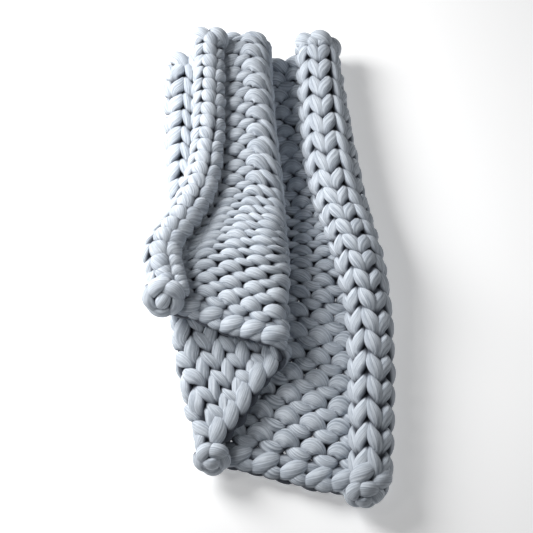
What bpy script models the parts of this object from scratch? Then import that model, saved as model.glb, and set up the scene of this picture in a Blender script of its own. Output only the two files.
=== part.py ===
"""A chunky knit blanket, laid out in three lengthwise layers with both side edges curled over.

The blanket is one knitted piece. It is modelled as one solid: a thick sheet on the folded middle
surface of the cloth, with the stitches raised on both faces.

Two coordinates run over the cloth. s counts the wales, the columns of stitches, from the right
side edge to the left one. t counts the courses, the rows, from the near hem to the far one.
X is to the right, Y goes from the near hem to the far one, and Z is up. Sizes are in metres.
"""

import bmesh
import bpy
import numpy as np

# The knitting
WALES = 23
COURSES = 23
HALF_THICK = 0.0195
RELIEF_KNIT = 0.0110
RELIEF_PURL = 0.0100
LEG_SLANT = 0.22
HEM_EDGE_HALF = 0.010
HEM_BEAD_HALF = 0.0185
HEM_PETAL = 0.0025

# Folds, as radii of the middle surface
FOLD_RADIUS = 0.0215
ROLL_CLEARANCE = 0.004
CURL_SWEEP = np.radians(262)
HALF_FOLD_WALES = 0.66

# One row for each cross-section, from the near hem to the far one. Lengths are in millimetres.
#   y       where the section lies
#   right   outer side of the right roll      right_r   its outer radius
#   left    outer side of the left fold       ridge     outer side of the ridge fold
#   curl    outer side of the left curl       curl_r    its outer radius
#   lift    height of the soft swell under the cloth
#   puff    slack between the three layers    drop      how far the left curl hangs down
SECTION_COLUMNS = ("y", "right", "right_r", "left", "ridge", "curl", "curl_r", "lift", "puff", "drop")
SECTIONS = (
    (-520, 240, 43, -92, 52, -232, 43, 0, 0, 0),
    (-400, 258, 47, -133, 52, -232, 43, 0, 0, 0),
    (-300, 264, 49, -168, 52, -232, 43, 0, 2, 4),
    (-200, 270, 51, -191, 53, -230, 43, 0, 4, 6),
    (-90, 268, 53, -205, 54, -236, 44, 10, 10, 12),
    (0, 257, 56, -210, 52, -253, 45, 24, 14, 15),
    (70, 243, 58, -211, 49, -216, 45, 20, 14, 14),
    (140, 229, 61, -214, 44, -187, 44, 5, 12, 10),
    (260, 209, 62, -228, 34, -166, 41, 0, 10, 8),
    (390, 193, 58, -236, 24, -166, 41, 0, 10, 8),
    (620, 169, 52, -239, 12, -172, 41, 0, 8, 6),
)

# The wale that lies at each place of those cross-sections: at the end of the right roll, in the
# middle of the left fold, in the middle of the ridge, and where the left curl starts.
WALE_COLUMNS = ("y", "roll_end", "left_fold", "ridge_fold", "curl_start")
FOLD_WALES = (
    (-520, 3.3, 9, 11.9, 19.3),
    (-400, 3.35, 9.6, 13.1, 19.7),
    (-300, 3.4, 10.3, 14.4, 20.3),
    (-200, 3.5, 11, 15.5, 20.8),
    (-90, 3.75, 11.55, 16.15, 20.95),
    (0, 4.1, 11.9, 16.6, 21),
    (70, 4.4, 12.2, 17, 20.95),
    (140, 4.7, 12.5, 17.4, 20.9),
    (260, 4.7, 12.4, 17.7, 20.8),
    (390, 4.5, 12.2, 17.8, 20.6),
    (620, 4, 12, 17.6, 20.4),
)

# Where the two hems lie: the place in Y of the near and the far end of a wale, in millimetres.
HEM_COLUMNS = ("wale", "near", "far")
HEMS = (
    (0, -466, 583),
    (2.6, -480, 577),
    (4.1, -477, 563),
    (5.7, -461, 553),
    (7.1, -440, 546),
    (9.1, -415, 540),
    (10.3, -389, 542),
    (12.2, -330, 544),
    (13.9, -262, 532),
    (16.0, -196, 530),
    (16.9, -184, 530),
    (18.35, -168, 587),
    (19.8, -138, 568),
    (21.3, -110, 553),
    (23, -100, 543),
)

# The top layer bends down over the far end of the lower ones.
BEND_START = 0.530
BEND_AXIS_Z = 0.080
TOP_BEND_LENGTH, CURL_BEND_LENGTH = 0.045, 0.070

# Courses lie closer together where the cloth is bunched up.
BUNCH_COLUMNS = ("wale", "at", "wide", "extra")
BUNCHES = (
    (0, 0.040, 0.140, 0.25),
    (4.8, 0.040, 0.120, 0.40),
    (7.8, 0.040, 0.095, 0.90),
    (11.8, 0.040, 0.090, 1.05),
    (17.8, 0.040, 0.085, 1.15),
    (19.4, 0.040, 0.090, 1.00),
    (21.2, -0.090, 0.055, 1.10),
    (23, -0.095, 0.055, 1.10),
)
BEND_EXTRA = 1.40

STATION_STEP = 0.010
GREY_WOOL = (0.62, 0.67, 0.72, 1.0)


def smooth_step(x):
    """0 below 0, 1 above 1, and a smooth rise between them."""
    x = np.clip(x, 0.0, 1.0)
    return x * x * (3 - 2 * x)


def soft_table(rows, columns, at):
    """The table's columns, read at the places in at, with a smooth slope through every row."""
    table = np.array(rows, float)
    keys = table[:, 0]
    at = np.clip(at, keys[0], keys[-1])
    k = np.clip(np.searchsorted(keys, at, side="right") - 1, 0, len(keys) - 2)
    width = keys[k + 1] - keys[k]
    f = (at - keys[k]) / width
    slopes = np.gradient(table, keys, axis=0)
    found = {}
    for c, name in enumerate(columns):
        low, high = table[k, c], table[k + 1, c]
        rise, fall = slopes[k, c] * width, slopes[k + 1, c] * width
        found[name] = (
            low * (2 * f**3 - 3 * f**2 + 1)
            + rise * (f**3 - 2 * f**2 + f)
            + high * (3 * f**2 - 2 * f**3)
            + fall * (f**3 - f**2)
        )
    return found


def arc(centre_x, centre_z, radius, angle):
    """A point of a circle in the X-Z plane."""
    return centre_x + radius * np.cos(angle), centre_z + radius * np.sin(angle)


def cross_section(s, y):
    """X and Z of the cloth's middle at wales s in the sections at y; s is a column, y a row."""
    p = soft_table(SECTIONS, SECTION_COLUMNS, y * 1000)
    w = soft_table(FOLD_WALES, WALE_COLUMNS, y * 1000)
    p = {name: value / 1000 for name, value in p.items()}
    quarter = np.pi / 2

    # The right roll stops just above the bottom layer.
    right_tip = np.pi + np.arcsin(1 - (2 * HALF_THICK + ROLL_CLEARANCE) / p["right_r"])
    right_r = p["right_r"] - HALF_THICK
    right_x = p["right"] - p["right_r"]
    floor_z = HALF_THICK + p["lift"]
    left_x = p["left"] + HALF_THICK + FOLD_RADIUS
    middle_z = floor_z + 2 * FOLD_RADIUS
    ridge_r = FOLD_RADIUS + p["puff"] / 2
    ridge_x = p["ridge"] - HALF_THICK - ridge_r
    top_z = middle_z + 2 * ridge_r
    curl_r = p["curl_r"] - HALF_THICK
    curl_x = p["curl"] + p["curl_r"]
    curl_z = top_z - p["drop"]

    ends = [
        w["roll_end"],
        w["left_fold"] - HALF_FOLD_WALES,
        w["left_fold"] + HALF_FOLD_WALES,
        w["ridge_fold"] - HALF_FOLD_WALES,
        w["ridge_fold"] + HALF_FOLD_WALES,
        w["curl_start"],
    ]
    starts = [0 * ends[0], *ends]
    stops = [*ends, 0 * ends[0] + WALES]
    f = [np.clip((s - a) / (b - a), 0, 1) for a, b in zip(starts, stops)]

    roll = arc(right_x, floor_z + right_r, right_r, right_tip - (right_tip + quarter) * f[0])
    floor = (right_x + (left_x - right_x) * f[1], floor_z + 0 * f[1])
    left = arc(left_x, floor_z + FOLD_RADIUS, FOLD_RADIUS, -quarter - np.pi * f[2])
    middle = (left_x + (ridge_x - left_x) * f[3], middle_z + 0 * f[3])
    ridge = arc(ridge_x, middle_z + ridge_r, ridge_r, -quarter + np.pi * f[4])
    top = (ridge_x + (curl_x - ridge_x) * f[5], top_z + (curl_z - top_z) * smooth_step(f[5]))
    curl = arc(curl_x, curl_z + curl_r, curl_r, -quarter - CURL_SWEEP * f[6])

    runs = (roll, floor, left, middle, ridge, top, curl)
    which = sum((s > end).astype(int) for end in ends)
    x = np.choose(which, [run[0] for run in runs])
    z = np.choose(which, [run[1] for run in runs])
    return x, z


def bend_far_end(s, y, z):
    """The top layer turns down over the far end of the lower ones, about a level axis."""
    w = soft_table(FOLD_WALES, WALE_COLUMNS, y * 1000)
    fold_start = w["ridge_fold"] - HALF_FOLD_WALES
    share = smooth_step((s - fold_start) / (2 * HALF_FOLD_WALES))
    curl = smooth_step((s - w["curl_start"] + 1) / 1.5)
    bend_length = TOP_BEND_LENGTH + (CURL_BEND_LENGTH - TOP_BEND_LENGTH) * curl
    radius = np.maximum(z - BEND_AXIS_Z, 0)
    over = np.maximum(y - BEND_START, 0) * share
    angle = np.minimum(over / bend_length, np.pi / 2)
    past = over - bend_length * angle
    bent_y = y - over + radius * np.sin(angle)
    bent_z = z - radius * (1 - np.cos(angle)) - past
    return bent_y, bent_z


def cloth_surface(s, t):
    """Points of the cloth's middle surface, for every wale in s and every course in t."""
    hems = soft_table(HEMS, HEM_COLUMNS, s)
    near, far = hems["near"][:, None] / 1000, hems["far"][:, None] / 1000
    lowest, highest = near.min(), far.max()
    stations = np.arange(lowest, highest + STATION_STEP, STATION_STEP)
    x, z = cross_section(s[:, None], stations[None, :])
    along = np.sqrt(np.diff(x, axis=1) ** 2 + np.diff(z, axis=1) ** 2 + STATION_STEP**2)
    b = soft_table(BUNCHES, BUNCH_COLUMNS, s[:, None])
    bunch = b["extra"] * np.exp(-(((stations - b["at"]) / b["wide"]) ** 2))
    bunch = bunch + BEND_EXTRA * smooth_step((stations - BEND_START) / 0.03)
    along = along * (1 + (bunch[:, 1:] + bunch[:, :-1]) / 2)
    run = np.concatenate([0 * x[:, :1], np.cumsum(along, axis=1)], axis=1)

    points = np.empty((len(s), len(t), 3))
    for i in range(len(s)):
        first, last = np.interp([near[i, 0], far[i, 0]], stations, run[i])
        y = np.interp(first + (last - first) * t / COURSES, run[i], stations)
        px, pz = np.interp(y, stations, x[i]), np.interp(y, stations, z[i])
        py, pz = bend_far_end(s[i], y, pz)
        points[i] = np.stack([px, py, pz], axis=1)
    return points


def normals_of(s, t):
    """Unit normals of the cloth on the side of the knit face, from four points close by."""
    small = 0.02
    across = cloth_surface(s + small, t) - cloth_surface(s - small, t)
    along = cloth_surface(s, t + small) - cloth_surface(s, t - small)
    normal = np.cross(across, along)
    return normal / np.linalg.norm(normal, axis=2, keepdims=True)


def leg_slant(s):
    """How far the arms of the V have moved along the course, at wales s."""
    return LEG_SLANT * np.cos(2 * np.pi * s)


def knit_relief(s, t):
    """0 to 1: each stitch is two legs in a V, with a groove between them and one between courses."""
    legs = 0.5 - 0.5 * np.cos(4 * np.pi * s)
    return legs * (0.80 + 0.20 * np.cos(2 * np.pi * (t - leg_slant(s))))


def purl_relief(s, t):
    """0 to 1: rows of bumps, each row half a wale along from the one before."""
    return 0.5 - 0.5 * np.cos(2 * np.pi * s) * np.cos(2 * np.pi * t)


def face_steps(*stretches):
    """Wales where a face has points: each stretch is (first wale, last wale, points a wale)."""
    places = [np.arange(round((b - a) * n)) / n + a for a, b, n in stretches]
    return np.append(np.concatenate(places), WALES)


def make_face(s, courses, side, relief, relief_height):
    """Points of one face of the thick cloth, and how raised each is. side is 1 for the knit face."""
    points = np.empty((len(s), len(courses), 3))
    normals = np.empty_like(points)
    raised = np.empty(points.shape[:2])
    for i, wale in enumerate(s):
        slant = leg_slant(wale) if side > 0 else 0.0
        t = np.where((courses < 1) | (courses > COURSES - 1), courses, courses + slant)
        here = np.array([wale])
        points[i] = cloth_surface(here, t)[0]
        normals[i] = normals_of(here, t)[0]
        raised[i] = relief(wale, t)
    # The face that lies on the floor is flat.
    on_floor = smooth_step((-0.55 - normals[:, :, 2]) / 0.3) * (side > 0) * (points[:, :, 2] < 0.055)
    raised = raised + (1 - raised) * on_floor
    body = HALF_THICK - relief_height * (1 - raised)
    body[:, 0] = body[:, -1] = HEM_EDGE_HALF
    body[:, 1] = body[:, -2] = HEM_BEAD_HALF + HEM_PETAL * np.cos(2 * np.pi * s)
    return points + side * normals * body[:, :, None], raised


def zip_faces(first, second, s_first, s_second):
    """Triangles of the narrow strip between two rows of points, matched by their wales."""
    faces = []
    i = j = 0
    while i < len(first) - 1 or j < len(second) - 1:
        step_first = j == len(second) - 1 or (i < len(first) - 1 and s_first[i + 1] <= s_second[j + 1])
        if step_first:
            faces.append((first[i], first[i + 1], second[j]))
            i += 1
        else:
            faces.append((first[i], second[j + 1], second[j]))
            j += 1
    return faces


def side_triangles(index, raised):
    """Two triangles for each square of the grid, split along its lower diagonal."""
    after, raised_after = np.roll(index, -1, axis=0), np.roll(raised, -1, axis=0)
    a, b, c, d = index[:, :-1], after[:, :-1], after[:, 1:], index[:, 1:]
    ac = raised[:, :-1] + raised_after[:, 1:]
    bd = raised_after[:, :-1] + raised[:, 1:]
    first = np.where((ac < bd)[..., None], np.stack([a, b, c], -1), np.stack([a, b, d], -1))
    second = np.where((ac < bd)[..., None], np.stack([a, c, d], -1), np.stack([b, c, d], -1))
    both = np.concatenate([first.reshape(-1, 3), second.reshape(-1, 3)])
    return [tuple(int(v) for v in face) for face in both]


def make_blanket():
    """The blanket's mesh: rings round the cloth, one for each half course, closed at both hems."""
    courses = np.concatenate([[0, 0.35], np.arange(1, COURSES - 0.75, 0.5), [COURSES - 0.35, COURSES]])
    s_knit = face_steps((0, 5, 4), (5, 9, 0.75), (9, 15, 4), (15, 18.5, 2), (18.5, 20.5, 1), (20.5, WALES, 4))
    s_purl = face_steps((0, 12, 2), (12, 18.5, 4), (18.5, WALES, 2))
    knit, knit_raised = make_face(s_knit, courses, 1, knit_relief, RELIEF_KNIT)
    purl, purl_raised = make_face(s_purl, courses, -1, purl_relief, RELIEF_PURL)

    rings = np.concatenate([knit, purl[::-1]], axis=0)
    raised = np.concatenate([knit_raised, purl_raised[::-1]], axis=0)
    rings[:, :, 2] = np.where(rings[:, :, 2] < 0.0030, 0.0, rings[:, :, 2])
    ring_size, ring_count = rings.shape[:2]
    low, high = rings.min(axis=(0, 1)), rings.max(axis=(0, 1))
    rings[:, :, :2] -= (low + high)[:2] / 2

    index = np.arange(ring_size * ring_count).reshape(ring_size, ring_count)
    faces = side_triangles(index, raised)
    knit_rows, purl_rows = index[: len(s_knit)], index[len(s_knit):][::-1]
    near = zip_faces(knit_rows[:, 0], purl_rows[:, 0], s_knit, s_purl)
    far = zip_faces(knit_rows[:, -1], purl_rows[:, -1], s_knit, s_purl)
    faces += [tuple(int(v) for v in face[::-1]) for face in near]
    faces += [tuple(int(v) for v in face) for face in far]

    mesh = bpy.data.meshes.new("blanket")
    mesh.from_pydata(rings.reshape(-1, 3).tolist(), [], faces)
    mesh.validate()
    shell = bmesh.new()
    shell.from_mesh(mesh)
    bmesh.ops.recalc_face_normals(shell, faces=shell.faces[:])
    shell.to_mesh(mesh)
    shell.free()
    return bpy.data.objects.new("blanket", mesh)


def wool_material():
    """Matt pale blue-grey wool."""
    material = bpy.data.materials.new("grey_wool")
    material.use_nodes = True
    shader = material.node_tree.nodes["Principled BSDF"]
    shader.inputs["Base Color"].default_value = GREY_WOOL
    shader.inputs["Roughness"].default_value = 0.9
    shader.inputs["Metallic"].default_value = 0.0
    return material


def main():
    for old in list(bpy.data.objects):
        bpy.data.objects.remove(old)
    collection = bpy.data.collections.new("chunky_knit_blanket")
    bpy.context.scene.collection.children.link(collection)
    blanket = make_blanket()
    blanket.data.materials.append(wool_material())
    collection.objects.link(blanket)


main()
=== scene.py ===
# %% [markdown]
# # A chunky knit blanket, laid in three layers
#
# The real thing is one strand of thick unspun wool, worked by hand into big loops. The cloth is
# about 40 mm thick, so it doesn't hang like a sheet: it rolls at its side edges and folds in fat
# curves. This lesson builds it the way it is made. First comes the folded middle surface of the
# cloth, then one strand for each course of loops, and last the wool itself.

import bpy
import numpy as np
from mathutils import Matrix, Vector


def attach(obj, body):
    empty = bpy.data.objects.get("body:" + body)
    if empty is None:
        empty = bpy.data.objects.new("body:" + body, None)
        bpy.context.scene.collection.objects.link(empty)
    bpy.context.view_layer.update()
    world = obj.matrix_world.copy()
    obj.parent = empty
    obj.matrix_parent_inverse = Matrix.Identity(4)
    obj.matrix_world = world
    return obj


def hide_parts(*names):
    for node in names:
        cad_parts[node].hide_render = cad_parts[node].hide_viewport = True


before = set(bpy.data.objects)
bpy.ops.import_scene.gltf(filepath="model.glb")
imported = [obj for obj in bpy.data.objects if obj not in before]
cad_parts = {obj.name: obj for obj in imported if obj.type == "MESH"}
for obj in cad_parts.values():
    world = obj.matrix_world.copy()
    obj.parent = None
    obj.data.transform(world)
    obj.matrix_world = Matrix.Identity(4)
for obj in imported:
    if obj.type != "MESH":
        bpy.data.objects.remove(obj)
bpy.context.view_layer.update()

# %% [markdown]
# ## The folded cloth
#
# Two numbers find a place on the cloth. s counts the wales, the columns of stitches, from the
# right side edge to the left one. t counts the courses, the rows, from the near hem to the far
# one. The cloth could be dropped on a surface by a cloth simulation, but a simulation gives other
# folds each time the size changes. A small table of cross-sections keeps the folds where the
# photograph shows them, so the same tables drive the solid and the wool.

# %% The tables
WALES, COURSES = 23, 23
HALF_THICK = 0.0195
FOLD_RADIUS = 0.0215
ROLL_CLEARANCE = 0.004
CURL_SWEEP = np.radians(262)
HALF_FOLD_WALES = 0.66

# Millimetres: where a section lies, the right roll's outer side and radius, the left fold's and
# the ridge's outer sides, the left curl's outer side and radius, the swell under the cloth, the
# slack between the layers, and how far the curl hangs.
SECTION_COLUMNS = ("y", "right", "right_r", "left", "ridge", "curl", "curl_r", "lift", "puff", "drop")
SECTIONS = (
    (-520, 240, 43, -92, 52, -232, 43, 0, 0, 0),
    (-400, 258, 47, -133, 52, -232, 43, 0, 0, 0),
    (-300, 264, 49, -168, 52, -232, 43, 0, 2, 4),
    (-200, 270, 51, -191, 53, -230, 43, 0, 4, 6),
    (-90, 268, 53, -205, 54, -236, 44, 10, 10, 12),
    (0, 257, 56, -210, 52, -253, 45, 24, 14, 15),
    (70, 243, 58, -211, 49, -216, 45, 20, 14, 14),
    (140, 229, 61, -214, 44, -187, 44, 5, 12, 10),
    (260, 209, 62, -228, 34, -166, 41, 0, 10, 8),
    (390, 193, 58, -236, 24, -166, 41, 0, 10, 8),
    (620, 169, 52, -239, 12, -172, 41, 0, 8, 6),
)
WALE_COLUMNS = ("y", "roll_end", "left_fold", "ridge_fold", "curl_start")
FOLD_WALES = (
    (-520, 3.3, 9, 11.9, 19.3),
    (-400, 3.35, 9.6, 13.1, 19.7),
    (-300, 3.4, 10.3, 14.4, 20.3),
    (-200, 3.5, 11, 15.5, 20.8),
    (-90, 3.75, 11.55, 16.15, 20.95),
    (0, 4.1, 11.9, 16.6, 21),
    (70, 4.4, 12.2, 17, 20.95),
    (140, 4.7, 12.5, 17.4, 20.9),
    (260, 4.7, 12.4, 17.7, 20.8),
    (390, 4.5, 12.2, 17.8, 20.6),
    (620, 4, 12, 17.6, 20.4),
)
HEM_COLUMNS = ("wale", "near", "far")
HEMS = (
    (0, -466, 583),
    (2.6, -480, 577),
    (4.1, -477, 563),
    (5.7, -461, 553),
    (7.1, -440, 546),
    (9.1, -415, 540),
    (10.3, -389, 542),
    (12.2, -330, 544),
    (13.9, -262, 532),
    (16.0, -196, 530),
    (16.9, -184, 530),
    (18.35, -168, 587),
    (19.8, -138, 568),
    (21.3, -110, 553),
    (23, -100, 543),
)
BEND_START = 0.530
BEND_AXIS_Z = 0.080
TOP_BEND_LENGTH, CURL_BEND_LENGTH = 0.045, 0.070
# Metres along Y: where the courses are gathered, how far that reaches, and by what share.
BUNCH_COLUMNS = ("wale", "at", "wide", "extra")
BUNCHES = (
    (0, 0.040, 0.140, 0.25),
    (4.8, 0.040, 0.120, 0.40),
    (7.8, 0.040, 0.095, 0.90),
    (11.8, 0.040, 0.090, 1.05),
    (17.8, 0.040, 0.085, 1.15),
    (19.4, 0.040, 0.090, 1.00),
    (21.2, -0.090, 0.055, 1.10),
    (23, -0.095, 0.055, 1.10),
)
BEND_EXTRA = 1.40
STATION_STEP = 0.005
CENTRE = np.array([0.0080, 0.0511, 0.0])


# %% Reading a table smoothly
def smooth_step(x):
    """0 below 0, 1 above 1, and 3x^2 - 2x^3 between them."""
    x = np.clip(x, 0.0, 1.0)
    return x * x * (3 - 2 * x)


def soft_table(rows, columns, at):
    """The table's columns at the places in at: a cubic between each two rows, with the rows' slopes."""
    table = np.array(rows, float)
    keys = table[:, 0]
    at = np.clip(at, keys[0], keys[-1])
    k = np.clip(np.searchsorted(keys, at, side="right") - 1, 0, len(keys) - 2)
    width = keys[k + 1] - keys[k]
    f = (at - keys[k]) / width
    slopes = np.gradient(table, keys, axis=0)
    found = {}
    for c, name in enumerate(columns):
        start, end = table[k, c], table[k + 1, c]
        rise, fall = slopes[k, c] * width, slopes[k + 1, c] * width
        found[name] = (
            start * (2 * f**3 - 3 * f**2 + 1)
            + rise * (f**3 - 2 * f**2 + f)
            + end * (3 * f**2 - 2 * f**3)
            + fall * (f**3 - f**2)
        )
    return found


# %% [markdown]
# ## One cross-section
#
# Seen from the near end, the cloth starts inside the right roll, runs left along the floor, turns
# back in the left fold, turns again in the ridge, runs left as the top layer and ends in a curl.
# Each of those seven runs is a straight line or an arc of a circle, and a wale belongs to one.


# %% The section and the far end's bend
def arc(centre_x, centre_z, radius, angle):
    """centre + radius times (cos angle, sin angle), in the X-Z plane."""
    return centre_x + radius * np.cos(angle), centre_z + radius * np.sin(angle)


def cross_section(s, y):
    """X and Z of the cloth's middle: in each run, the share of the way along gives a line or an arc."""
    p = soft_table(SECTIONS, SECTION_COLUMNS, y * 1000)
    w = soft_table(FOLD_WALES, WALE_COLUMNS, y * 1000)
    p = {name: value / 1000 for name, value in p.items()}
    quarter = np.pi / 2
    right_tip = np.pi + np.arcsin(1 - (2 * HALF_THICK + ROLL_CLEARANCE) / p["right_r"])
    right_r = p["right_r"] - HALF_THICK
    right_x = p["right"] - p["right_r"]
    floor_z = HALF_THICK + p["lift"]
    left_x = p["left"] + HALF_THICK + FOLD_RADIUS
    middle_z = floor_z + 2 * FOLD_RADIUS
    ridge_r = FOLD_RADIUS + p["puff"] / 2
    ridge_x = p["ridge"] - HALF_THICK - ridge_r
    top_z = middle_z + 2 * ridge_r
    curl_r = p["curl_r"] - HALF_THICK
    curl_x = p["curl"] + p["curl_r"]
    curl_z = top_z - p["drop"]
    ends = [
        w["roll_end"],
        w["left_fold"] - HALF_FOLD_WALES,
        w["left_fold"] + HALF_FOLD_WALES,
        w["ridge_fold"] - HALF_FOLD_WALES,
        w["ridge_fold"] + HALF_FOLD_WALES,
        w["curl_start"],
    ]
    starts = [0 * ends[0], *ends]
    stops = [*ends, 0 * ends[0] + WALES]
    f = [np.clip((s - a) / (b - a), 0, 1) for a, b in zip(starts, stops)]
    roll = arc(right_x, floor_z + right_r, right_r, right_tip - (right_tip + quarter) * f[0])
    floor = (right_x + (left_x - right_x) * f[1], floor_z + 0 * f[1])
    left = arc(left_x, floor_z + FOLD_RADIUS, FOLD_RADIUS, -quarter - np.pi * f[2])
    middle = (left_x + (ridge_x - left_x) * f[3], middle_z + 0 * f[3])
    ridge = arc(ridge_x, middle_z + ridge_r, ridge_r, -quarter + np.pi * f[4])
    top = (ridge_x + (curl_x - ridge_x) * f[5], top_z + (curl_z - top_z) * smooth_step(f[5]))
    curl = arc(curl_x, curl_z + curl_r, curl_r, -quarter - CURL_SWEEP * f[6])
    runs = (roll, floor, left, middle, ridge, top, curl)
    which = sum((s > end).astype(int) for end in ends)
    return np.choose(which, [run[0] for run in runs]), np.choose(which, [run[1] for run in runs])


def bend_far_end(s, y, z):
    """Past BEND_START the top layer turns about a level axis:
    y + radius sin(angle), z - radius (1 - cos(angle))."""
    w = soft_table(FOLD_WALES, WALE_COLUMNS, y * 1000)
    share = smooth_step((s - w["ridge_fold"] + HALF_FOLD_WALES) / (2 * HALF_FOLD_WALES))
    curl = smooth_step((s - w["curl_start"] + 1) / 1.5)
    bend_length = TOP_BEND_LENGTH + (CURL_BEND_LENGTH - TOP_BEND_LENGTH) * curl
    radius = np.maximum(z - BEND_AXIS_Z, 0)
    over = np.maximum(y - BEND_START, 0) * share
    angle = np.minimum(over / bend_length, np.pi / 2)
    past = over - bend_length * angle
    return y - over + radius * np.sin(angle), z - radius * (1 - np.cos(angle)) - past


def cloth_surface(s, t):
    """Points of the cloth's middle: on each wale, the courses share its length evenly, and lie
    closer where it is bunched."""
    hems = soft_table(HEMS, HEM_COLUMNS, s)
    near, far = hems["near"] / 1000, hems["far"] / 1000
    stations = np.arange(near.min(), far.max() + STATION_STEP, STATION_STEP)
    x, z = cross_section(s[:, None], stations[None, :])
    along = np.sqrt(np.diff(x, axis=1) ** 2 + np.diff(z, axis=1) ** 2 + STATION_STEP**2)
    b = soft_table(BUNCHES, BUNCH_COLUMNS, s[:, None])
    bunch = b["extra"] * np.exp(-(((stations - b["at"]) / b["wide"]) ** 2))
    bunch = bunch + BEND_EXTRA * smooth_step((stations - BEND_START) / 0.03)
    along = along * (1 + (bunch[:, 1:] + bunch[:, :-1]) / 2)
    run = np.concatenate([0 * x[:, :1], np.cumsum(along, axis=1)], axis=1)
    points = np.empty((len(s), len(t), 3))
    for i in range(len(s)):
        first, last = np.interp([near[i], far[i]], stations, run[i])
        y = np.interp(first + (last - first) * t / COURSES, run[i], stations)
        py, pz = bend_far_end(s[i], y, np.interp(y, stations, z[i]))
        points[i] = np.stack([np.interp(y, stations, x[i]), py, pz], axis=1)
    return points - CENTRE


# %% [markdown]
# ## Sampling the cloth once
#
# Every strand asks the cloth for thousands of places. So the middle surface and its normal are
# worked out once on a fine grid, a little past each edge, and read from it with a cubic filter.
# The filter also rounds off the small steps where a line meets an arc.

# %% The grid
GRID_STEP = 0.1
MARGIN = 1.0


def past_edges(points, step, margin):
    """The grid carried on in a straight line past both ends of its first axis."""
    n = int(round(margin / step))
    k = np.arange(1, n + 1)[:, None, None]
    before = points[0] + (points[0] - points[2]) / 2 * k[::-1]
    after = points[-1] + (points[-1] - points[-3]) / 2 * k
    return np.concatenate([before, points, after])


def unit(v):
    """v over its length."""
    return v / np.maximum(np.linalg.norm(v, axis=-1, keepdims=True), 1e-12)


inner_s = np.arange(0, WALES + GRID_STEP / 2, GRID_STEP)
inner_t = np.arange(0, COURSES + GRID_STEP / 2, GRID_STEP)
MIDDLE = past_edges(cloth_surface(inner_s, inner_t), GRID_STEP, MARGIN)
MIDDLE = past_edges(MIDDLE.transpose(1, 0, 2), GRID_STEP, MARGIN).transpose(1, 0, 2)
ACROSS = np.gradient(MIDDLE, GRID_STEP, axis=0)
ALONG = np.gradient(MIDDLE, GRID_STEP, axis=1)
NORMAL = unit(np.cross(ACROSS, ALONG))
TURN_ACROSS = np.gradient(NORMAL, GRID_STEP, axis=0)
TURN_ALONG = np.gradient(NORMAL, GRID_STEP, axis=1)
print("grid:", MIDDLE.shape, "mean pitch:", np.linalg.norm(ACROSS, axis=2).mean().round(4),
      np.linalg.norm(ALONG, axis=2).mean().round(4))


def read_grid(grid, s, t):
    """The grid at any (s, t), by a cubic filter of the 4 by 4 places round it."""
    x = np.clip((np.asarray(s) + MARGIN) / GRID_STEP, 1, grid.shape[0] - 2.001)
    y = np.clip((np.asarray(t) + MARGIN) / GRID_STEP, 1, grid.shape[1] - 2.001)
    i, j = np.floor(x).astype(int), np.floor(y).astype(int)

    def weights(f):
        return [
            (1 - f) ** 3 / 6,
            (3 * f**3 - 6 * f**2 + 4) / 6,
            (-3 * f**3 + 3 * f**2 + 3 * f + 1) / 6,
            f**3 / 6,
        ]

    total = 0
    for a, wa in enumerate(weights(x - i)):
        for b, wb in enumerate(weights(y - j)):
            total = total + (wa * wb)[..., None] * grid[i + a - 1, np.minimum(j + b - 1, grid.shape[1] - 1)]
    return total


# %% [markdown]
# ## One loop of wool
#
# A knitted loop is a wave that leans over itself. Going once round, the strand moves one wale
# along the course, plus a sway that makes the head wider than the neck. It swings between the
# course before and the one after, and dives from the back to the front and back again. Legs show
# on the knit face as a V, heads and feet on the purl face as rows of bumps. Round a roll the outer
# face has more room than the middle, so widths are worked out from the room at the strand's own
# depth and not from the flat cloth.

# %% The loop's formula
SWAY = 0.258
REACH = 0.77
DEPTH = 0.0088
POINTS_A_LOOP = 36
SIDES = 20
EDGE_ROOM = 0.42
LEG_SHARE = 0.284
BUMP_SHARE = 0.365
HEAD_EXTRA, LEG_TAPER, LATE = 0.16, 0.30, 0.4
PINCH = 0.19
HALF_STRAND = 0.0112
WIDEST_WALE, WIDEST_COURSE = 0.088, 0.058


def loop_path(course, wale):
    """Where the strand of a course is at each place along it, in wales, courses and metres of depth.
    Turn is 2 pi times the wale: across = wale + sway sin(2 turn), along = -reach cos(turn), and
    depth = -depth c (1.4 - 0.4 c^2) with c = cos(2 turn) - late cos(turn) sin(turn)^2, so that a
    leg stays in front, dives steeply, and stands out most near its foot."""
    turn = 2 * np.pi * wale
    room = (COURSES - 2 * EDGE_ROOM) / COURSES
    across = wale + SWAY * np.sin(2 * turn)
    along = EDGE_ROOM + (course + 0.5 - REACH * np.cos(turn)) * room
    foot = np.cos(turn)
    c = np.cos(2 * turn) - LATE * foot * np.sin(turn) ** 2
    return across, along, -DEPTH * c * (1.4 - 0.4 * c**2) * (1 - 0.12 * foot)


def room_at(s, t, depth):
    """How long a wale and a course are at this depth: the middle surface's step plus depth times
    the normal's turn."""
    across = read_grid(ACROSS, s, t) + depth[:, None] * read_grid(TURN_ACROSS, s, t)
    along = read_grid(ALONG, s, t) + depth[:, None] * read_grid(TURN_ALONG, s, t)
    return np.linalg.norm(across, axis=1), np.linalg.norm(along, axis=1)


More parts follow.
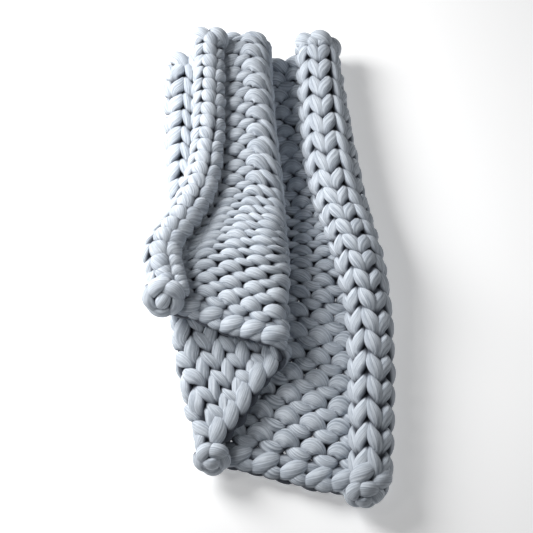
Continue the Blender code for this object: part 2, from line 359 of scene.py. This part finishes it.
def loop_widths(wale, s, t, depth):
    """Half widths of the strand: a share of the wale on a leg, of the course on a head or foot,
    pinched where they cross."""
    turn = 2 * np.pi * wale
    across, along = room_at(s, t, depth)
    leg = np.sin(turn) ** 2
    taper = (LEG_TAPER * leg - HEAD_EXTRA * (1 - leg)) * np.cos(turn)
    plump = (1 - PINCH + PINCH * np.cos(4 * turn)) * (1 + taper)
    on_leg = LEG_SHARE * np.clip(across, 0.030, WIDEST_WALE)
    on_bump = BUMP_SHARE * np.clip(along, 0.026, WIDEST_COURSE)
    wide = leg * on_leg + (1 - leg) * on_bump
    squeeze = np.clip(along / 0.050, 0.75, 1.05) ** 0.5 * np.clip(across / 0.060, 1, 1.4) ** (0.45 * leg)
    return wide * plump, HALF_STRAND * (0.84 + 0.16 * np.cos(4 * turn)) * squeeze


def soft_noise(count, waves, rng):
    """Smooth noise along a strand: a sum of sines with rising frequency, about -1 to 1."""
    at = np.linspace(0, 1, count)[:, None]
    freq = waves * rng.uniform(0.35, 1.0, 9)
    return np.sin(2 * np.pi * (at * freq + rng.uniform(0, 1, 9))).sum(axis=1) / 3.2


# %% [markdown]
# ## A strand with body
#
# Unspun wool has no round section: pressed between its neighbours it is a soft oval, wide in the
# plane of the cloth, fat in the middle of each leg and pinched where two strands cross. A tube
# with a bevel would stay round, so the section is carried along the path ring by ring. Shallow
# folds run along it, as in carded wool that is twisted a little.


# %% Carrying a section along a path
def tube(centre, normal, depth, half_wide, half_thick, rng):
    """Rings of a flattened tube along the points in centre, with two attributes for its wool.
    A point = centre + wide cos(angle) side + thick sin(angle) up, swelled by shallow waves round
    the ring. Fibre says where a point is round and along the strand, and proud how far it stands
    off the cloth's middle, which sets how much painted crease shade the wool's colour gets."""
    forward = unit(np.gradient(centre, axis=0))
    side = unit(np.cross(forward, normal))
    up = np.cross(side, forward)
    length = np.concatenate([[0], np.cumsum(np.linalg.norm(np.diff(centre, axis=0), axis=1))])

    angle = np.linspace(0, 2 * np.pi, SIDES, endpoint=False)[None, :]
    twist = length[:, None] / 0.16 + rng.uniform(0, 6)
    folds = 1 + 0.030 * np.sin(3 * angle + 2.1 * twist) + 0.024 * np.sin(5 * angle - 1.3 * twist)
    folds = folds + 0.014 * np.sin(7 * angle + 3.7 * twist)
    out = half_thick[:, None] * np.sin(angle) * folds
    a = (half_wide[:, None] * np.cos(angle) * folds)[..., None] * side[:, None]
    rings = centre[:, None] + a + out[..., None] * up[:, None]
    rings[..., 2] = np.maximum(rings[..., 2], 0.0)
    # proud is also the mask of the painted shade: the lower a point lies, the darker its colour is painted.
    proud = np.abs(depth[:, None] + out) / HALF_THICK
    spun = angle + length[:, None] / 0.055
    fibre = np.stack([np.cos(spun), np.sin(spun), np.broadcast_to(length[:, None] / 0.013, spun.shape)], -1)
    return rings, fibre, proud


def strand(s, t, depth, half_wide, half_thick, rng):
    """The same tube along a path on the cloth: centre = middle surface + depth times normal."""
    normal = unit(read_grid(NORMAL, s, t))
    centre = read_grid(MIDDLE, s, t) + depth[:, None] * normal
    return tube(centre, normal, depth, half_wide, half_thick, rng)


def tube_faces(ring_count, first):
    """The squares between rings, and one many-sided face at each end."""
    index = first + np.arange(ring_count * SIDES).reshape(ring_count, SIDES)
    after = np.roll(index, -1, axis=1)
    squares = np.stack([index[:-1], after[:-1], after[1:], index[1:]], -1).reshape(-1, 4)
    return squares.tolist() + [index[0][::-1].tolist(), index[-1].tolist()]


def wool_piece(name, strands):
    """One mesh of several strands, with the fibre attribute that its wool follows."""
    points = np.concatenate([rings.reshape(-1, 3) for rings, _, _ in strands])
    fibre = np.concatenate([f.reshape(-1, 3) for _, f, _ in strands])
    proud = np.concatenate([p.ravel() for _, _, p in strands])
    faces, first = [], 0
    for rings, _, _ in strands:
        faces += tube_faces(len(rings), first)
        first += rings.shape[0] * SIDES
    mesh = bpy.data.meshes.new(name)
    mesh.from_pydata(points.tolist(), [], faces)
    layer = mesh.attributes.new("fibre", "FLOAT_VECTOR", "POINT")
    layer.data.foreach_set("vector", fibre.astype(np.float32).ravel())
    # proud masks the painted crease shade in the wool's material.
    layer = mesh.attributes.new("proud", "FLOAT", "POINT")
    layer.data.foreach_set("value", proud.astype(np.float32))
    mesh.shade_smooth()
    piece = bpy.data.objects.new(name, mesh)
    bpy.context.scene.collection.objects.link(piece)
    return piece


# %% [markdown]
# ## The wool
#
# Carded wool is thousands of fine fibres side by side. Up close they show as soft streaks along
# the strand, a little lighter and darker, with a dull sheen. The streaks follow the strand, so
# they are drawn from the fibre attribute: its first two numbers go round the strand and the third
# runs along it, squeezed so that the noise comes out long and thin.


# %% The streaks as a node group
def streak_group():
    """Fibre in; Streaks (0 to 1), Lumps (0 to 1) and a bumped Normal out."""
    group = bpy.data.node_groups.new("wool_streaks", "ShaderNodeTree")
    sockets = group.interface
    sockets.new_socket("Fibre", in_out="INPUT", socket_type="NodeSocketVector")
    sockets.new_socket("Fineness", in_out="INPUT", socket_type="NodeSocketFloat")
    sockets.new_socket("Streaks", in_out="OUTPUT", socket_type="NodeSocketFloat")
    sockets.new_socket("Lumps", in_out="OUTPUT", socket_type="NodeSocketFloat")
    sockets.new_socket("Normal", in_out="OUTPUT", socket_type="NodeSocketVector")
    nodes, links = group.nodes, group.links
    start, end = nodes.new("NodeGroupInput"), nodes.new("NodeGroupOutput")

    def noise(scale, stretch, detail):
        squeeze = nodes.new("ShaderNodeMapping")
        squeeze.inputs["Scale"].default_value = (1, 1, stretch)
        texture = nodes.new("ShaderNodeTexNoise")
        texture.inputs["Scale"].default_value = scale
        texture.inputs["Detail"].default_value = detail
        texture.inputs["Roughness"].default_value = 0.65
        links.new(start.outputs["Fibre"], squeeze.inputs["Vector"])
        links.new(squeeze.outputs["Vector"], texture.inputs["Vector"])
        return texture

    fine, lumps = noise(5.0, 0.030, 4.0), noise(1.3, 0.22, 3.0)
    links.new(start.outputs["Fineness"], fine.inputs["Scale"])
    both = nodes.new("ShaderNodeMath")
    both.operation = "MULTIPLY_ADD"
    both.inputs[1].default_value = 0.6
    links.new(lumps.outputs["Fac"], both.inputs[0])
    links.new(fine.outputs["Fac"], both.inputs[2])
    bump = nodes.new("ShaderNodeBump")
    bump.inputs["Strength"].default_value = 0.55
    bump.inputs["Distance"].default_value = 0.0028
    links.new(both.outputs["Value"], bump.inputs["Height"])
    links.new(fine.outputs["Fac"], end.inputs["Streaks"])
    links.new(lumps.outputs["Fac"], end.inputs["Lumps"])
    links.new(bump.outputs["Normal"], end.inputs["Normal"])
    return group


STREAKS = streak_group()


# %% The wool's material
def wool_material(name, painted_crease_shade, dark, light, fineness):
    """Matt wool: dark to light by streaks and lumps, then towards a painted crease shade where the
    strand isn't proud: a darker colour that stands in for the shade between the loops."""
    material = bpy.data.materials.new(name)
    material.use_nodes = True
    nodes, links = material.node_tree.nodes, material.node_tree.links
    shader = nodes["Principled BSDF"]
    shader.inputs["Roughness"].default_value = 0.88
    shader.inputs["Specular IOR Level"].default_value = 0.25
    shader.inputs["Sheen Weight"].default_value = 0.15
    shader.inputs["Sheen Roughness"].default_value = 0.5
    fibre, proud = nodes.new("ShaderNodeAttribute"), nodes.new("ShaderNodeAttribute")
    fibre.attribute_name, proud.attribute_name = "fibre", "proud"
    streaks = nodes.new("ShaderNodeGroup")
    streaks.node_tree = STREAKS
    streaks.inputs["Fineness"].default_value = fineness
    blend = nodes.new("ShaderNodeMath")
    blend.operation = "MULTIPLY_ADD"
    blend.inputs[1].default_value = 0.5
    ramp = nodes.new("ShaderNodeValToRGB")
    ramp.color_ramp.elements[0].position, ramp.color_ramp.elements[0].color = 0.56, dark
    ramp.color_ramp.elements[1].position, ramp.color_ramp.elements[1].color = 0.88, light
    # Painted shade: where the strand lies low in the cloth, its colour is mixed towards a dark colour that
    # stands in for the shade in the creases between loops.
    shade = nodes.new("ShaderNodeMapRange")
    shade.interpolation_type = "SMOOTHSTEP"
    shade.inputs["From Min"].default_value = 0.34
    shade.inputs["From Max"].default_value = 0.76
    mix = nodes.new("ShaderNodeMix")
    mix.data_type = "RGBA"
    mix.inputs["A"].default_value = painted_crease_shade
    links.new(fibre.outputs["Vector"], streaks.inputs["Fibre"])
    links.new(streaks.outputs["Lumps"], blend.inputs[0])
    links.new(streaks.outputs["Streaks"], blend.inputs[2])
    links.new(blend.outputs["Value"], ramp.inputs["Fac"])
    links.new(proud.outputs["Fac"], shade.inputs["Value"])
    links.new(shade.outputs["Result"], mix.inputs["Factor"])
    links.new(ramp.outputs["Color"], mix.inputs["B"])
    links.new(mix.outputs["Result"], shader.inputs["Base Color"])
    links.new(streaks.outputs["Normal"], shader.inputs["Normal"])
    return material


# A dark blue grey painted into the creases between loops, in place of the shade that falls there.
PAINTED_CREASE_SHADE = (0.105, 0.118, 0.145, 1)
DARK = (0.29, 0.33, 0.385, 1)
LIGHT = (0.66, 0.71, 0.77, 1)
WOOL = wool_material("blue_grey_wool", PAINTED_CREASE_SHADE, DARK, LIGHT, 5.0)

# %% [markdown]
# ## The courses
#
# Each course is one piece: a single strand that makes 23 loops side by side. A hand knitter's
# loops are never quite alike, so the sway, reach and width wander a little along the strand, from
# noise with a fixed seed.

# %% The courses of loops
pieces = []


def course_strand(course):
    """The loops of one course as rings, with small wandering of place and size."""
    rng = np.random.default_rng(100 + course)
    wale = np.linspace(0, WALES, WALES * POINTS_A_LOOP + 1)
    s, t, depth = loop_path(course, wale)
    n = len(wale)
    wide, thick = loop_widths(wale, s, t, depth)
    s = s + 0.032 * soft_noise(n, 26, rng)
    t = t + 0.040 * soft_noise(n, 26, rng)
    depth = depth + 0.0010 * soft_noise(n, 30, rng)
    wide = wide * (1 + 0.07 * soft_noise(n, 40, rng))
    s = np.clip(s, 0.02, WALES - 0.02)
    return strand(s, t, depth, wide, thick, rng)


for course in range(COURSES):
    pieces.append(wool_piece(f"course_{course + 1:02d}", [course_strand(course)]))
print("courses:", len(pieces), "faces each:", len(pieces[0].data.polygons))

# %% [markdown]
# ## The hems and the side edges
#
# The first and last rows are chains: each loop is drawn through the one before, so the edge looks
# like a rope of fat petals. Every petal is a short strand that starts inside the cloth, swings
# out past the edge and dives under the next one. The end of the strand is woven in behind them,
# which closes the gaps. Along the side edges the strand turns up from one course to the next in a
# small bight.


# %% Petals along a hem
PETAL_WALES = 1.10
PETAL_HALF_WIDE, PETAL_HALF_THICK = 0.0188, 0.0130
CORE_HALF_WIDE, CORE_HALF_THICK = 0.0150, 0.0100


def hem_petal(wale, hem, outward, face, rng):
    """A leaf on one face: it runs slantwise along the edge, from inside to outside on the purl face
    and back on the knit face. Its width is 0.30 plus 0.70 times a half sine to the power 0.7."""
    q = np.linspace(0, 1, 21)
    swing = np.sin(np.pi * q)
    slant = (q - 0.5) * -face
    s = wale + PETAL_WALES * (q - 0.5) + 0.05 * rng.uniform(-1, 1)
    t = hem + outward * (0.92 * slant + 0.10 * swing + 0.05 * rng.uniform(-1, 1))
    depth = face * (0.0010 + 0.0105 * swing**0.8)
    body = (0.30 + 0.70 * swing**0.7) * (1 + 0.08 * rng.uniform(-1, 1))
    s = np.clip(s, -0.1, WALES + 0.1)
    return strand(s, t, depth, PETAL_HALF_WIDE * body, PETAL_HALF_THICK * body, rng)


def hem_core(hem, outward, wales, rng):
    """The end of the strand, woven in behind the petals: it runs along the hem in small waves."""
    s = np.linspace(0.4, wales - 0.2, 6 * wales)
    t = hem - outward * (0.22 + 0.06 * np.sin(2 * np.pi * s))
    depth = 0.0020 * np.cos(2 * np.pi * s)
    body = 1 - 0.7 * np.exp(-np.minimum(s - s[0], s[-1] - s) / 0.4)
    return strand(s, t, depth, CORE_HALF_WIDE * body, CORE_HALF_THICK * body, rng)


def hem_chain(name, hem, outward, wales, seed):
    """Two petals for each wale, one on each face of the cloth, and the core behind them."""
    rng = np.random.default_rng(seed)
    petals = [
        hem_petal(wale + 0.5 + 0.25 * face, hem, outward, face, rng)
        for wale in range(wales)
        for face in (1, -1)
    ]
    return wool_piece(name, petals + [hem_core(hem, outward, wales, rng)])


pieces.append(hem_chain("near_hem", 0.52, -1, WALES - 1, 7))
pieces.append(hem_chain("far_hem", COURSES - 0.52, 1, WALES, 8))


# %% Bights along the side edges
BIGHT_HALF_WIDE = 0.0132


def edge_bight(course, edge, outward, rng):
    """From one course to the next: out past the edge and back in a half sine."""
    q = np.linspace(0, 1, 13)
    s = edge + outward * (-0.06 + 0.20 * np.sin(np.pi * q))
    t = EDGE_ROOM + (course + 0.5 - REACH + 1.15 * q) * (COURSES - 2 * EDGE_ROOM) / COURSES
    depth = -DEPTH * (0.8 - 0.9 * np.sin(np.pi * q))
    body = 0.55 + 0.45 * np.sin(np.pi * q)
    return strand(s, t, depth, BIGHT_HALF_WIDE * body, HALF_STRAND * body, rng)


rng = np.random.default_rng(9)
for name, edge, outward in (("right_edge", 0, -1), ("left_edge", WALES, 1)):
    pieces.append(wool_piece(name, [edge_bight(c, edge, outward, rng) for c in range(COURSES)]))
print("pieces:", len(pieces), "faces:", sum(len(p.data.polygons) for p in pieces))

# %% [markdown]
# ## The knots at the rolled corners
#
# Where a rolled side edge meets the near hem, the hand knitter draws the last loops together, so
# the roll ends in a rosette instead of an open tube. The loops are short strands laid tangent to
# a ring, each one tucked under the next, on a dome that faces the way the roll points. One more
# loop closes the middle. The near corner of the left fold ends in such a rosette too.

# %% Three rosettes
KNOT_COLUMNS = ("x", "y", "z", "ring", "dome", "turn", "tilt")
KNOTS = {
    "right_knot": (0.194, -0.478, 0.048, 0.0265, 0.018, 0.4, 0.35),
    "left_knot": (-0.206, -0.104, 0.150, 0.0310, 0.019, 1.1, 0.85),
    "fold_knot": (-0.106, -0.410, 0.052, 0.0250, 0.017, 0.2, 0.75),
}
LOOPS_IN_KNOT = 5
LEAF_HALF_WIDE, LEAF_HALF_THICK = 0.0168, 0.0128
MIDDLE_HALF_WIDE, MIDDLE_HALF_THICK = 0.0150, 0.0115


def knot_loop(place, axes, ring, dome, start, sweep, rng):
    """A leaf on the dome: its angle goes from start by sweep while its radius shrinks, so its end
    tucks under."""
    right, up, out = axes
    q = np.linspace(0, 1, 21)
    angle = start + sweep * q
    radius = ring * (1.20 - 0.50 * q)
    swell = np.sin(np.pi * q)
    height = dome * (1 - 0.8 * (radius / ring) ** 2) + 0.006 * swell - 0.010 * (q - 0.4)
    flat = np.cos(angle)[:, None] * right + np.sin(angle)[:, None] * up
    centre = place + radius[:, None] * flat + height[:, None] * out
    normal = unit(out + (1.1 * radius / ring)[:, None] * flat)
    body = (0.36 + 0.64 * swell**0.7) * (1 + 0.07 * rng.uniform(-1, 1))
    return tube(centre, normal, 0.002 + 0.009 * swell, LEAF_HALF_WIDE * body, LEAF_HALF_THICK * body, rng)


def end_knot(name, row, seed):
    """Five leaves round a ring and one across its middle."""
    rng = np.random.default_rng(seed)
    k = dict(zip(KNOT_COLUMNS, row))
    place = np.array([k["x"], k["y"], k["z"]]) - CENTRE
    out = unit(np.array([0.0, -1.0, k["tilt"]]))
    right = np.array([1.0, 0.0, 0.0])
    axes = right, np.cross(right, out) * -1, out
    step = 2 * np.pi / LOOPS_IN_KNOT
    leaves = [
        knot_loop(place, axes, k["ring"], k["dome"], k["turn"] + step * i, 1.55 * step, rng)
        for i in range(LOOPS_IN_KNOT)
    ]
    q = np.linspace(-1, 1, 21)
    across = np.cos(k["turn"]) * axes[0] + np.sin(k["turn"]) * axes[1]
    centre = place + 0.020 * q[:, None] * across + (k["dome"] + 0.004 - 0.016 * q**2)[:, None] * out
    swell = np.cos(np.pi / 2 * q)
    body = 0.30 + 0.70 * swell**0.7
    normal = np.broadcast_to(out, centre.shape)
    wide, thick = MIDDLE_HALF_WIDE * body, MIDDLE_HALF_THICK * body
    leaves.append(tube(centre, normal, 0.002 + 0.009 * swell, wide, thick, rng))
    return wool_piece(name, leaves)


for seed, (name, row) in enumerate(KNOTS.items()):
    pieces.append(end_knot(name, row, 20 + seed))
    print(name, [round(float(v), 3) for v in pieces[-1].dimensions])

# %% [markdown]
# ## Tying the wool to the solid
#
# Every piece gets the wool, rides on the one body and stands for the solid, which is hidden. The
# cloth is far thicker than a sheet.

# %% Riding and replacing
for piece in pieces:
    piece.data.materials.append(WOOL)
    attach(piece, "root")
    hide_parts("blanket")

# %% [markdown]
# ## Floor, light and camera
#
# The photograph is cut out on white, with soft light from the left and above. A wide soft light
# does most of the work, and a soft lamp lifts the near end of the top layer. A weak light from the
# right, a pale room and a faintly glowing floor keep the shadows open, so that no side is black.
# The camera looks down steeply from beyond the near hem.


# %% The floor
FLOOR_GLOW = 0.30


def floor_material(name, colour, roughness, glow):
    """A plain matt finish that also shines a little by itself."""
    material = bpy.data.materials.new(name)
    material.use_nodes = True
    shader = material.node_tree.nodes["Principled BSDF"]
    shader.inputs["Base Color"].default_value = colour
    shader.inputs["Roughness"].default_value = roughness
    shader.inputs["Emission Color"].default_value = (1, 1, 1, 1)
    shader.inputs["Emission Strength"].default_value = glow
    return material


floor_mesh = bpy.data.meshes.new("floor")
floor_mesh.from_pydata([(-6, -6, 0), (6, -6, 0), (6, 6, 0), (-6, 6, 0)], [], [(0, 1, 2, 3)])
floor = bpy.data.objects.new("floor", floor_mesh)
floor.location.z = -0.0005
floor_mesh.materials.append(floor_material("pale_floor", (0.93, 0.93, 0.93, 1), 0.9, FLOOR_GLOW))
bpy.context.scene.collection.objects.link(floor)


# %% The lights
def hang_light(name, data, place, aim):
    """A light at place, turned so that its beam points at aim."""
    light = bpy.data.objects.new(name, data)
    light.location = place
    light.rotation_euler = (Vector(place) - Vector(aim)).to_track_quat("Z", "Y").to_euler()
    bpy.context.scene.collection.objects.link(light)


def area_light(name, place, aim, size, watts):
    """A round window of even light."""
    data = bpy.data.lights.new(name, "AREA")
    data.shape = "DISK"
    data.size = size
    data.energy = watts
    hang_light(name, data, place, aim)


def soft_lamp(name, place, aim, cone, watts):
    """A lamp with a wide bulb, whose round pool of light fades out to its edge."""
    data = bpy.data.lights.new(name, "SPOT")
    data.spot_size = np.radians(cone)
    data.spot_blend = 1.0
    data.shadow_soft_size = 0.30
    data.energy = watts
    hang_light(name, data, place, aim)


area_light("window", (-1.38, 0.74, 1.18), (0, 0, 0), 1.1, 54)
area_light("fill", (1.42, 0.0, 1.42), (0, 0, 0), 0.9, 4)
soft_lamp("lamp", (-0.95, -0.25, 1.45), (-0.14, -0.08, 0.15), 34, 38)
world = bpy.data.worlds.new("room")
world.use_nodes = True
world.node_tree.nodes["Background"].inputs["Color"].default_value = (0.93, 0.96, 1.0, 1)
world.node_tree.nodes["Background"].inputs["Strength"].default_value = 0.08
bpy.context.scene.world = world
view = bpy.context.scene.view_settings
print("view:", view.view_transform, view.look, view.exposure)
view.view_transform = "Standard"

# %% The camera
ELEVATION = np.radians(66)
AIM = Vector((-0.0057, -0.0446, 0.05))
camera = bpy.data.objects.new("camera", bpy.data.cameras.new("camera"))
camera.data.lens = 72
camera.data.sensor_width = 36
back = Vector((0, -np.cos(ELEVATION), np.sin(ELEVATION)))
camera.location = AIM + 2.30 * back
camera.rotation_euler = back.to_track_quat("Z", "Y").to_euler()
bpy.context.scene.collection.objects.link(camera)
bpy.context.scene.camera = camera
print("camera at", [round(v, 3) for v in camera.location])
